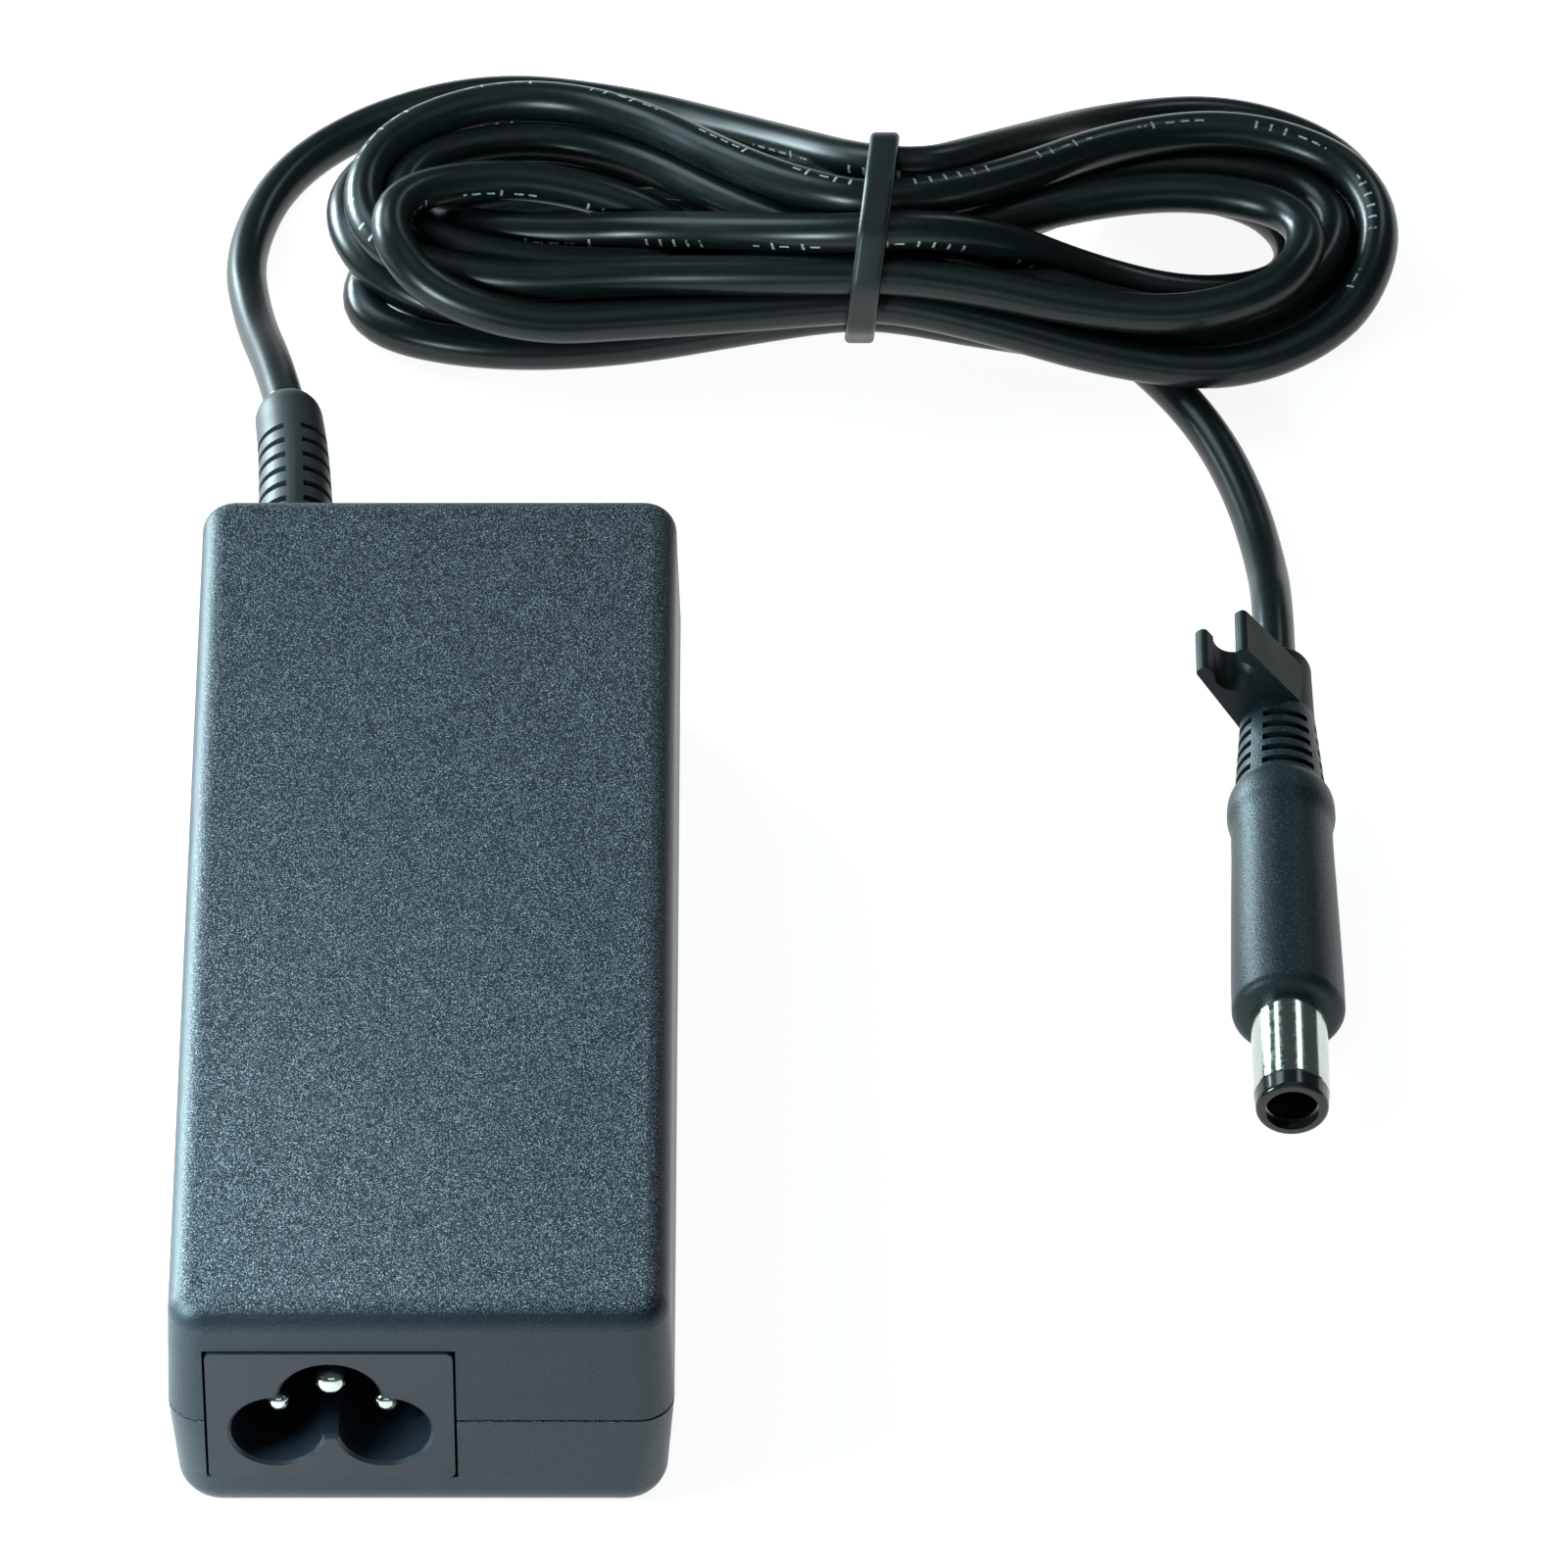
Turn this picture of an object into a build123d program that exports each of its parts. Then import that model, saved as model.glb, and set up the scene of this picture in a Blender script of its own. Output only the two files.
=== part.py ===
from build123d import *
import os
from math import pi, tan, radians

# Laptop power adapter: a two-shell case with a C6 mains inlet at its front face, a low-voltage
# output cord wound into a tied hank behind it, and a 7.4 mm barrel plug. Millimetres, +Z up.
# The origin is the centre of the case's underside, the inlet faces -Y and the cord leaves at +Y.
os.makedirs("parts", exist_ok=True)

# ---- case
CASE_W, CASE_L, CASE_H = 47.0, 111.0, 26.8
SEAM_Z = 12.6
SEAM_GAP = 0.3
WALL = 2.2
BASE_W, BASE_L = CASE_W - 1.7, CASE_L - 0.8
TOP_W, TOP_L = CASE_W - 0.8, CASE_L - 0.5
BASE_R, SEAM_R, TOP_R = 4.3, 3.4, 3.2
BASE_EDGE_R, TOP_EDGE_R = 3.2, 2.3
TONGUE_T, TONGUE_H = 1.0, 1.5
FIT = 0.1
FRONT_Y, BACK_Y = -CASE_L / 2, CASE_L / 2

# ---- mains inlet
INLET_X = -8.35
BEZEL_W, BEZEL_Z0, BEZEL_Z1 = 22.9, 5.1, 21.75
BEZEL_GAP = 0.25
INLET_DEPTH = 17.0
SOCKET_DEPTH = 13.5
LOBE_R, TOP_LOBE_R = 4.3, 4.8
PIN_PITCH, EARTH_RISE = 10.0, 4.0
PIN_LINE_Z = 11.3
KEY_W, KEY_DROP = 1.4, 0.6
LIP_BEVEL = 0.3
LINE_PIN_R, EARTH_PIN_R = 1.2, 1.5
LINE_PIN_RECESS, EARTH_PIN_RECESS = 3.2, 1.8
FLANGE_T, FLANGE_LIP = 1.6, 0.7
FLANGE_FRONT = FRONT_Y + WALL + 0.4
FLANGE_BACK = FLANGE_FRONT + FLANGE_T

# ---- output cord and its strain relief
CORD_D = 4.1
CORD_R = CORD_D / 2
RELIEF_X, RELIEF_Z = -14.6, SEAM_Z
RELIEF_END = (-16.2, 84.4, 11.0)
RELIEF_ROOT_R, RELIEF_TIP_R = 3.95, 3.35
RELIEF_NECK_R, RELIEF_FLANGE_R = 3.6, 5.5
FLANGE_IN_Y = BACK_Y - WALL - 2.3
SLOT_COUNT, SLOT_PITCH, SLOT_W = 10, 2.2, 0.8
RIB_W, RELIEF_CORE_R = 1.7, 2.75

# The cord's centre line where it isn't coiled: relief to hank, and hank to plug.
OUTPUT_LEAD = [
    RELIEF_END, (-17.6, 93.0, 8.6), (-20.2, 104.6, 4.3), (-21.9, 117.2, 2.1),
    (-18.2, 129.4, 2.1), (-9.4, 138.0, 2.1), (3.0, 141.4, 3.4),
]
PLUG_LEAD = [
    (62.0, 109.5, 3.0), (70.3, 101.2, 2.1), (76.4, 91.6, 2.1), (80.1, 80.9, 2.1),
    (81.9, 70.2, 2.6), (82.2, 61.0, 5.5), (82.2, 52.9, 5.5),
]
HANK_X, HANK_Y, HANK_Z = 42.6, 110.4, 10.8
WAIST_R, WAIST_L = 9.5, 4.0
BAND_W, BAND_T = 2.6, 1.1

# ---- barrel plug, its axis along Y, rolled about it so that the clip leans to -X
PLUG_X, PLUG_Z = 82.2, 5.5
TIP_Y = -8.3
PLUG_ROLL = -34.0
BARREL_R = 3.7
BARREL_START, BOOT_START = 2.0, 12.3
NECK_START, COLLAR_START, CLIP_END, COLLAR_END = 42.9, 53.2, 58.7, 61.2
NECK_SLOTS, NECK_SLOT_PITCH, NECK_SLOT_W = 5, 1.75, 0.85

# ---- circuit board and what stands on it
BOARD_Z0, BOARD_T = 6.0, 1.6
BOARD_TOP = BOARD_Z0 + BOARD_T
BOARD_X, BOARD_Y0, BOARD_Y1 = 19.8, -35.0, 49.5
POSTS = [(-16.5, -31.5), (16.5, -31.5), (-17.0, 16.0), (16.5, 46.0)]


def box(x0, x1, y0, y1, z0, z1):
    """A block from its low and high corners."""
    centre = Pos((x0 + x1) / 2, (y0 + y1) / 2, (z0 + z1) / 2)
    return centre * Box(x1 - x0, y1 - y0, z1 - z0)


def rod(x, y, z0, z1, radius):
    """An upright cylinder."""
    return Pos(x, y, (z0 + z1) / 2) * Cylinder(radius, z1 - z0)


def rod_y(x, z, y0, y1, radius):
    """A cylinder along Y."""
    return Pos(x, (y0 + y1) / 2, z) * Rot(90, 0, 0) * Cylinder(radius, y1 - y0)


def slab(width, length, radius, z):
    """A rounded rectangle about the case's centre line, at one height."""
    return Plane.XY.offset(z) * RectangleRounded(width, length, radius)


def save(name, *pieces):
    """Write one node: a single solid, or a group of identical separate solids."""
    shape = pieces[0] if len(pieces) == 1 else Compound(children=list(pieces))
    export_step(shape, f"parts/{name}.step")


# ================================================================ case
def lower_form(inset, z0, z1):
    """The bottom shell's outside, or its inside when inset, between two heights."""
    share = z0 / SEAM_Z
    base_w = BASE_W + (CASE_W - BASE_W) * share
    base_l = BASE_L + (CASE_L - BASE_L) * share
    low = slab(base_w - 2 * inset, base_l - 2 * inset, BASE_R - inset * 0.9, z0)
    high = slab(CASE_W - 2 * inset, CASE_L - 2 * inset, SEAM_R - inset * 0.9, z1)
    return loft([low, high], ruled=True)


def upper_form(inset, z0, z1):
    """The top shell's outside, or its inside when inset, between two heights."""
    low = slab(CASE_W - 2 * inset, CASE_L - 2 * inset, SEAM_R - inset * 0.9, z0)
    high = slab(TOP_W - 2 * inset, TOP_L - 2 * inset, TOP_R - inset * 0.9, z1)
    return loft([low, high], ruled=True)


def rim(inset, z0, z1):
    """A straight-sided block inside the seam, for the tongue and its groove."""
    plan = RectangleRounded(CASE_W - 2 * inset, CASE_L - 2 * inset, SEAM_R - inset * 0.9)
    return Pos(0, 0, z0) * extrude(plan, z1 - z0)


def inlet_window():
    """The hole in the front wall that the inlet's bezel fills, with its gap."""
    x0, x1 = INLET_X - BEZEL_W / 2, INLET_X + BEZEL_W / 2
    return box(x0 - BEZEL_GAP, x1 + BEZEL_GAP, FRONT_Y - 1, FRONT_Y + WALL + 1,
               BEZEL_Z0 - BEZEL_GAP, BEZEL_Z1 + BEZEL_GAP)


def relief_window():
    """The round hole in the back wall that the strain relief's neck fills."""
    return rod_y(RELIEF_X, RELIEF_Z, BACK_Y - WALL - 1, BACK_Y + 1, RELIEF_NECK_R + 0.05)


def bottom_cover():
    outside = lower_form(0, 0, SEAM_Z)
    outside = fillet(outside.faces().sort_by(Axis.Z)[0].edges(), BASE_EDGE_R)
    cover = outside - lower_form(WALL, WALL, SEAM_Z)
    tongue = rim(WALL - TONGUE_T, SEAM_Z - 2, SEAM_Z + TONGUE_H) - rim(WALL, SEAM_Z - 3, SEAM_Z + 3)
    cover += tongue
    for x, y in POSTS:
        cover += rod(x, y, WALL - 0.5, BOARD_Z0, 2.4)
        cover += rod(x, y, BOARD_Z0, BOARD_TOP + 0.8, 1.0)
    for side in (-1, 1):
        for y in (-22, -4, 14, 32):
            edge = side * (CASE_W / 2 - WALL)
            x0, x1 = sorted((edge + side * 0.5, edge - side * 0.9))
            cover += box(x0, x1, y, y + 1.2, WALL, SEAM_Z - 2)
    for side in (-1, 1):
        x = INLET_X + side * (BEZEL_W / 2 - 2)
        cover += box(x - 0.6, x + 0.6, FLANGE_BACK + 0.1, FLANGE_BACK + 1.8, WALL - 0.4, BEZEL_Z0 - 0.15)
    cover += box(RELIEF_X - 5.5, RELIEF_X + 5.5, 49.6, 50.9, WALL - 0.4, 9.2)
    cover -= inlet_window()
    cover -= relief_window()
    label_pocket = Pos(0, -2, 0) * extrude(RectangleRounded(34.4, 72.4, 1.7), 0.3)
    return cover - label_pocket


def top_cover():
    base_z = SEAM_Z + SEAM_GAP
    outside = upper_form(0, base_z, CASE_H)
    outside = fillet(outside.faces().sort_by(Axis.Z)[-1].edges(), TOP_EDGE_R)
    cover = outside - upper_form(WALL, base_z, CASE_H - WALL)
    cover -= rim(WALL - TONGUE_T - FIT, base_z - 1, SEAM_Z + TONGUE_H + FIT)
    for y in (-40, -14, 14, 42):
        cover += box(-19.5, 19.5, y, y + 1.0, CASE_H - WALL - 0.35, CASE_H - WALL + 0.3)
    for side in (-1, 1):
        x = INLET_X + side * (BEZEL_W / 2 - 2)
        cover += box(x - 0.6, x + 0.6, FLANGE_BACK + 0.1, FLANGE_BACK + 1.8,
                     BEZEL_Z1 + 0.15, CASE_H - WALL + 0.3)
    cover -= inlet_window()
    return cover - relief_window()


def rating_label():
    """A blank label in the pocket under the case."""
    return Pos(0, -2, 0.12) * extrude(RectangleRounded(34, 72, 1.5), 0.18)


# ================================================================ mains inlet
def socket_outline():
    """The three-lobed opening, in its own X and Z, about the middle of the line and neutral pins."""
    half = PIN_PITCH / 2
    outline = Pos(-half, 0) * Circle(LOBE_R) + Pos(half, 0) * Circle(LOBE_R)
    outline += Pos(0, EARTH_RISE) * Circle(TOP_LOBE_R)
    outline += Pos(0, (EARTH_RISE - KEY_DROP) / 2) * Rectangle(PIN_PITCH, EARTH_RISE + KEY_DROP)
    return outline - Pos(0, -KEY_DROP - 3) * Rectangle(KEY_W, 6)


def inlet_housing():
    x0, x1 = INLET_X - BEZEL_W / 2, INLET_X + BEZEL_W / 2
    body = box(x0, x1, FRONT_Y, FRONT_Y + INLET_DEPTH, BEZEL_Z0, BEZEL_Z1)
    body = fillet(body.edges().filter_by(Axis.Y), 0.7)
    flange = box(x0 - FLANGE_LIP, x1 + FLANGE_LIP, FLANGE_FRONT, FLANGE_BACK,
                 BEZEL_Z0 - FLANGE_LIP, BEZEL_Z1 + FLANGE_LIP)
    flange = chamfer(flange.edges().filter_by(Axis.Z).group_by(Axis.Y)[0], 1.2)
    body += flange
    mouth = Plane(origin=(INLET_X, FRONT_Y, PIN_LINE_Z), x_dir=(1, 0, 0), z_dir=(0, -1, 0))
    body -= extrude(mouth * socket_outline(), -SOCKET_DEPTH)
    lip = mouth.offset(-LIP_BEVEL)
    body -= extrude(lip * socket_outline(), LIP_BEVEL, taper=-45)
    for side in (-1, 1):
        body -= rod_y(INLET_X + side * PIN_PITCH / 2, PIN_LINE_Z, -45, -30, LINE_PIN_R)
    return body - rod_y(INLET_X, PIN_LINE_Z + EARTH_RISE, -45, -30, EARTH_PIN_R)


def contact_pin(dx, dz, radius, recess):
    """A round-nosed contact pin with a flat solder tab behind the housing."""
    x, z = INLET_X + dx, PIN_LINE_Z + dz
    back = FRONT_Y + INLET_DEPTH + 0.8
    shaft = rod_y(x, z, FRONT_Y + recess, back, radius)
    shaft = fillet(shaft.faces().sort_by(Axis.Y)[0].edges(), radius * 0.8)
    return shaft + box(x - 0.4, x + 0.4, back - 0.3, back + 2.4, z - radius * 0.9, z + radius * 0.9)


# ================================================================ output cord
def relief_path():
    """The strain relief's gently drooping centre line."""
    return Spline((RELIEF_X, BACK_Y, RELIEF_Z), RELIEF_END,
                  tangents=[(0, 1, 0), Vector(*OUTPUT_LEAD[1]) - Vector(*RELIEF_END)])


def output_strain_relief():
    path = relief_path()
    stations = [0, 0.35, 0.7, 0.9]
    sections = []
    for share in stations:
        radius = RELIEF_ROOT_R + (RELIEF_TIP_R - RELIEF_ROOT_R) * share
        sections.append(Plane(path @ share, z_dir=path % share) * Circle(radius))
    relief = loft(sections)
    tip = Plane(path @ 0.9, z_dir=path % 0.9)
    end = Plane(path @ 1, z_dir=path % 1)
    tip_radius = RELIEF_ROOT_R + (RELIEF_TIP_R - RELIEF_ROOT_R) * 0.9
    dome = loft([tip * Circle(tip_radius), Plane(path @ 0.955, z_dir=path % 0.955) * Circle(tip_radius - 0.25),
                 end * Circle(CORD_R + 0.12)])
    relief += dome
    length = path.length
    for k in range(SLOT_COUNT):
        share = (1.6 + k * SLOT_PITCH) / length
        here = Plane(path @ share, x_dir=(1, 0, 0), z_dir=path % share)
        cut = Box(12, 12, SLOT_W) - Cylinder(RELIEF_CORE_R, SLOT_W) - Box(RIB_W, 12, SLOT_W)
        relief -= here * cut
    relief += rod_y(RELIEF_X, RELIEF_Z, FLANGE_IN_Y, BACK_Y + 0.3, RELIEF_NECK_R)
    relief += rod_y(RELIEF_X, RELIEF_Z, FLANGE_IN_Y, BACK_Y - WALL - 0.4, RELIEF_FLANGE_R)
    return relief


def tube(points):
    """A cord's tube along straight runs joined by tangent arcs."""
    vectors = [Vector(*p) for p in points]
    runs = [b - a for a, b in zip(vectors, vectors[1:])]
    radii = []
    for before, after in zip(runs, runs[1:]):
        half_turn = radians(before.get_angle(after)) / 2
        radii.append(0.45 * min(before.length, after.length) / tan(half_turn))
    path = FilletPolyline(*points, radius=radii)
    start = Plane(path @ 0, z_dir=path % 0)
    cord = sweep(start * Circle(CORD_R), path=path)
    section = pi * CORD_R ** 2
    print("tube", round(path.length, 1), "mm, radii", [round(r, 1) for r in radii],
          "volume ratio", round(cord.volume / (section * path.length), 4))
    return cord


def hank_section(x, y0, y1, z1, corner):
    """One upright section of the hank's outer shape."""
    z0 = 0.1
    here = Plane(origin=(x, (y0 + y1) / 2, (z0 + z1) / 2), x_dir=(0, 1, 0), z_dir=(1, 0, 0))
    return here * RectangleRounded(y1 - y0, z1 - z0, corner)


def waist_section(x):
    here = Plane(origin=(x, HANK_Y, HANK_Z), x_dir=(0, 1, 0), z_dir=(1, 0, 0))
    return here * RectangleRounded(2 * WAIST_R, 2 * WAIST_R, WAIST_R - 0.3)


def cord_hank(*leads):
    """The outer shape of the seven tied turns: two flat lobes and a round waist."""
    left_x, right_x = HANK_X - WAIST_L / 2, HANK_X + WAIST_L / 2
    left = loft([waist_section(left_x), hank_section(22, 101, 141, 16.5, 6),
                 hank_section(5, 100, 145.5, 15, 6), hank_section(-7, 103, 139, 13, 5.5),
                 hank_section(-13.4, 110, 129, 10, 4.5)])
    right = loft([waist_section(right_x), hank_section(60, 97.5, 134, 16.5, 6),
                  hank_section(76, 94.5, 143.5, 15, 6), hank_section(90, 98.5, 138, 13, 5.5),
                  hank_section(96.4, 109, 129, 10, 4.5)])
    waist = extrude(waist_section(left_x), WAIST_L)
    hank = left + waist + right
    for lead in leads:
        hank -= lead
    return hank


def cord_tie_band():
    """The stretched rubber band round the hank's waist."""
    here = Plane(origin=(HANK_X - BAND_W / 2, HANK_Y, HANK_Z), x_dir=(0, 1, 0), z_dir=(1, 0, 0))
    outer = RectangleRounded(2 * (WAIST_R + BAND_T), 2 * (WAIST_R + BAND_T), WAIST_R + BAND_T - 0.3)
    inner = RectangleRounded(2 * WAIST_R, 2 * WAIST_R, WAIST_R - 0.3)
    return extrude(here * (outer - inner), BAND_W)


# ================================================================ barrel plug
def lay_plug(shape):
    """Put a plug piece, made along Y from its tip at the origin, where the plug lies."""
    return Pos(PLUG_X, TIP_Y, PLUG_Z) * Rot(0, PLUG_ROLL, 0) * shape


def turned(*points):
    """A piece turned about Y from its outline of radius and distance from the tip."""
    return revolve(make_face(Polyline(*points, close=True)), Axis.Y)


def plug_barrel():
    barrel = turned((3.1, BARREL_START), (BARREL_R - 0.1, BARREL_START), (BARREL_R, BARREL_START + 0.1),
                    (BARREL_R, BOOT_START), (3.45, BOOT_START), (3.45, 17), (3.1, 17))
    return lay_plug(barrel)


def plug_tip_insulator():
    ring = turned((2.6, 0), (3.5, 0), (3.58, BARREL_START), (3.1, BARREL_START),
                  (3.1, 11.5), (2.75, 11.5), (2.75, 1.2), (2.6, 1.2))
    front = ring.faces().sort_by(Axis.Y)[0].edges()
    return lay_plug(fillet(front.sort_by(SortBy.LENGTH)[-1], 0.5))


def plug_boot():
    front_r, rear_r, bulge_r, root_r, neck_r = 5.5, 4.98, 5.32, 4.5, 3.7
    outline = Polyline((3.45, BOOT_START), (front_r - 1.3, BOOT_START))
    outline += ThreePointArc((front_r - 1.3, BOOT_START), (front_r - 0.38, BOOT_START + 0.38),
                             (front_r, BOOT_START + 1.3))
    outline += Spline((front_r, BOOT_START + 1.3), (5.38, 21), (5.14, 30), (rear_r, 37.4),
                      tangents=[(0, 1), (0, 1)])
    outline += Spline((rear_r, 37.4), (bulge_r, 40.0), tangents=[(0, 1), (0, 1)])
    outline += Spline((bulge_r, 40.0), (root_r, NECK_START), tangents=[(0, 1), (-1, 0.8)])
    outline += Polyline((root_r, NECK_START), (neck_r, COLLAR_START), (2.9, COLLAR_START), (2.9, 59.5),
                        (CORD_R, 59.5), (CORD_R, 28), (3.1, 28), (3.1, 17), (3.45, 17), (3.45, BOOT_START))
    boot = revolve(make_face(outline.edges()), Axis.Y)
    for k in range(NECK_SLOTS):
        y = NECK_START + 1.0 + k * NECK_SLOT_PITCH
        ring = Pos(0, y, 0) * Rot(90, 0, 0) * (Cylinder(6, NECK_SLOT_W) - Cylinder(2.9, NECK_SLOT_W))
        ribs = Pos(0, y, 0) * (Box(1.3, 2, 12) + Box(12, 2, 1.3))
        boot -= ring - ribs
    return lay_plug(boot)


def cord_clip():
    """The cable-holding clip: a collar on the plug's neck and an open channel above it."""
    channel_z, channel_r, mouth, top_z = 7.8, 2.0, 3.2, 10.5
    block = make_face(Polyline((-3.55, 0), (3.55, 0), (2.95, top_z), (-2.95, top_z), close=True))
    block -= Pos(0, channel_z) * Circle(channel_r)
    block -= Pos(0, channel_z + 3) * Rectangle(mouth, 6)
    tips = block.vertices().filter_by(lambda v: v.Y > top_z - 0.1)
    block = fillet(tips, 0.55)
    upright = Plane(origin=(0, COLLAR_START, 0), x_dir=(1, 0, 0), z_dir=(0, -1, 0))
    clip = extrude(upright * block, -(CLIP_END - COLLAR_START))
    collar = turned((0, COLLAR_START), (3.68, COLLAR_START), (3.48, COLLAR_END), (0, COLLAR_END))
    collar = fillet(collar.faces().sort_by(Axis.Y)[-1].edges(), 1.1)
    clip += collar
    clip -= rod_y(0, 0, COLLAR_START - 1, 59.5, 2.9)
    return lay_plug(clip - rod_y(0, 0, 59, COLLAR_END + 1, CORD_R))


def plug_pieces():
    save("plug_barrel", plug_barrel())
    save("plug_tip_insulator", plug_tip_insulator())
    save("plug_inner_contact", lay_plug(turned((2.5, 1.2), (2.75, 1.2), (2.75, 11.5), (2.5, 11.5))))
    pin = rod_y(0, 0, 3.0, 21, 0.3)
    save("plug_centre_pin", lay_plug(fillet(pin.faces().sort_by(Axis.Y)[0].edges(), 0.2)))
    save("plug_core", lay_plug(turned((0.3, 11.5), (3.1, 11.5), (3.1, 19), (0.3, 19))))
    wires = [rod_y(dx, dz, 19, 28, 0.55) for dx, dz in ((-1.9, 0), (1.9, 0), (0, 1.9))]
    save("plug_wires", *[lay_plug(w) for w in wires])
    save("plug_cord_tail", lay_plug(rod_y(0, 0, 28, COLLAR_END, CORD_R)))
    save("plug_boot", plug_boot())
    save("cord_clip", cord_clip())


# ================================================================ inside the case
def main_pcb():
    board = box(-BOARD_X, BOARD_X, BOARD_Y0, BOARD_Y1, BOARD_Z0, BOARD_TOP)
    board = fillet(board.edges().filter_by(Axis.Z), 1.0)
    for x, y in POSTS:
        board -= rod(x, y, BOARD_Z0 - 1, BOARD_TOP + 1, 1.1)
    return board - box(-9.5, -8.0, 2, 34, BOARD_Z0 - 1, BOARD_TOP + 1)


def insulation_sheet():
    """A folded film between the board's underside and the lower shield."""
    film = box(-20.4, 20.4, -36, 49.4, 3.3, 3.6)
    for x0, x1 in ((-20.4, -20.1), (20.1, 20.4)):
        film += box(x0, x1, -36, 49.4, 3.3, 9.4)
    for x, y in POSTS:
        film -= rod(x, y, 2, 6, 2.7)
    return film


def heat_shield_bottom():
    plate = box(-19.8, 19.8, -35, 49, 2.5, 3.1)
    for x, y in POSTS:
        plate -= rod(x, y, 2, 6, 2.7)
    return plate


def heat_shield_top():
    """A folded aluminium cover over the parts, with its sides turned down."""
    shield = box(-19.8, 19.8, -35, 49, 23.5, 24.1)
    for x0, x1 in ((-19.8, -19.2), (19.2, 19.8)):
        shield += box(x0, x1, -35, 49, 10.2, 24.1)
    edges = shield.edges().filter_by(Axis.Y).group_by(Axis.Z)[-1]
    return fillet(edges, 0.5)


def heatsink(side, x, y0, y1):
    """An upright aluminium plate with its foot turned in on the board."""
    inner = x - side * 1.6
    x0, x1 = sorted((x, inner))
    plate = box(x0, x1, y0, y1, BOARD_TOP, 22.6)
    foot0, foot1 = sorted((x, x - side * 4.5))
    return plate + box(foot0, foot1, y0, y0 + 4, BOARD_TOP, BOARD_TOP + 1.2)


def power_package(x_face, side, y):
    """A three-legged power package with its tab against a heatsink's inner face."""
    x0, x1 = sorted((x_face, x_face - side * 4.4))
    tab0, tab1 = sorted((x_face, x_face - side * 1.3))
    body = box(x0, x1, y - 5, y + 5, BOARD_TOP + 4, BOARD_TOP + 10.2)
    body += box(tab0, tab1, y - 5, y + 5, BOARD_TOP + 10, BOARD_TOP + 14.8)
    leg_x = x_face - side * 2.6
    for dy in (-2.54, 0, 2.54):
        body += box(leg_x - 0.25, leg_x + 0.25, y + dy - 0.4, y + dy + 0.4, BOARD_TOP, BOARD_TOP + 4.2)
    return body


def bulk_capacitor():
    can = rod_y(8.2, BOARD_TOP + 7.8, -14, 13, 7.6)
    return fillet(can.edges(), 0.8)


def transformer(x, y, width, length, height):
    """Ferrite core, bobbin and winding of the transformer, as three solids."""
    x0, x1, y0, y1 = x - width / 2, x + width / 2, y - length / 2, y + length / 2
    z0 = BOARD_TOP + 2.0
    core = box(x0, x1, y - 6, y + 6, z0, z0 + height)
    core -= box(x0 + 4, x1 - 4, y - 7, y + 7, z0 + 3.4, z0 + height - 3.4)
    limb = rod(x, y, z0 + 3.4, z0 + height - 3.4, 4)
    core += limb
    tall0, tall1 = z0 + 3.4, z0 + height - 3.4
    bobbin = rod(x, y, tall0, tall1, 5.1) - rod(x, y, tall0, tall1, 4.1)
    for z in (tall0, tall1 - 0.9):
        cheek = box(x0 + 4.1, x1 - 4.1, y0, y1, z, z + 0.9) - rod(x, y, tall0, tall1, 4.1)
        bobbin += cheek
    for side in (y0, y1 - 3.5):
        bobbin += box(x0 + 4.3, x1 - 4.3, side, side + 3.5, BOARD_TOP, tall0 + 0.9)
    winding = rod(x, y, tall0 + 0.9, tall1 - 0.9, 8.2) - rod(x, y, tall0, tall1, 5.1)
    return core, bobbin, winding


def toroid_choke(x, y, z0):
    """A standing toroid and its two groups of turns."""
    place = Pos(x, y, z0 + 7) * Rot(90, 0, 0)
    core = place * (Cylinder(6.0, 6) - Cylinder(3.4, 6))
    turns = []
    for angle in list(range(40, 141, 20)) + list(range(220, 321, 20)):
        loop = Box(4.4, 1.0, 7.8) - Box(2.7, 1.2, 6.1)
        turns.append(place * Rot(0, 0, angle) * Pos(4.7, 0, 0) * loop)
    return core, turns


def wire(radius, *points):
    """A thin wire along straight runs with rounded corners."""
    path = FilletPolyline(*points, radius=0.9)
    return sweep(Plane(path @ 0, z_dir=path % 0) * Circle(radius), path=path)


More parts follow.
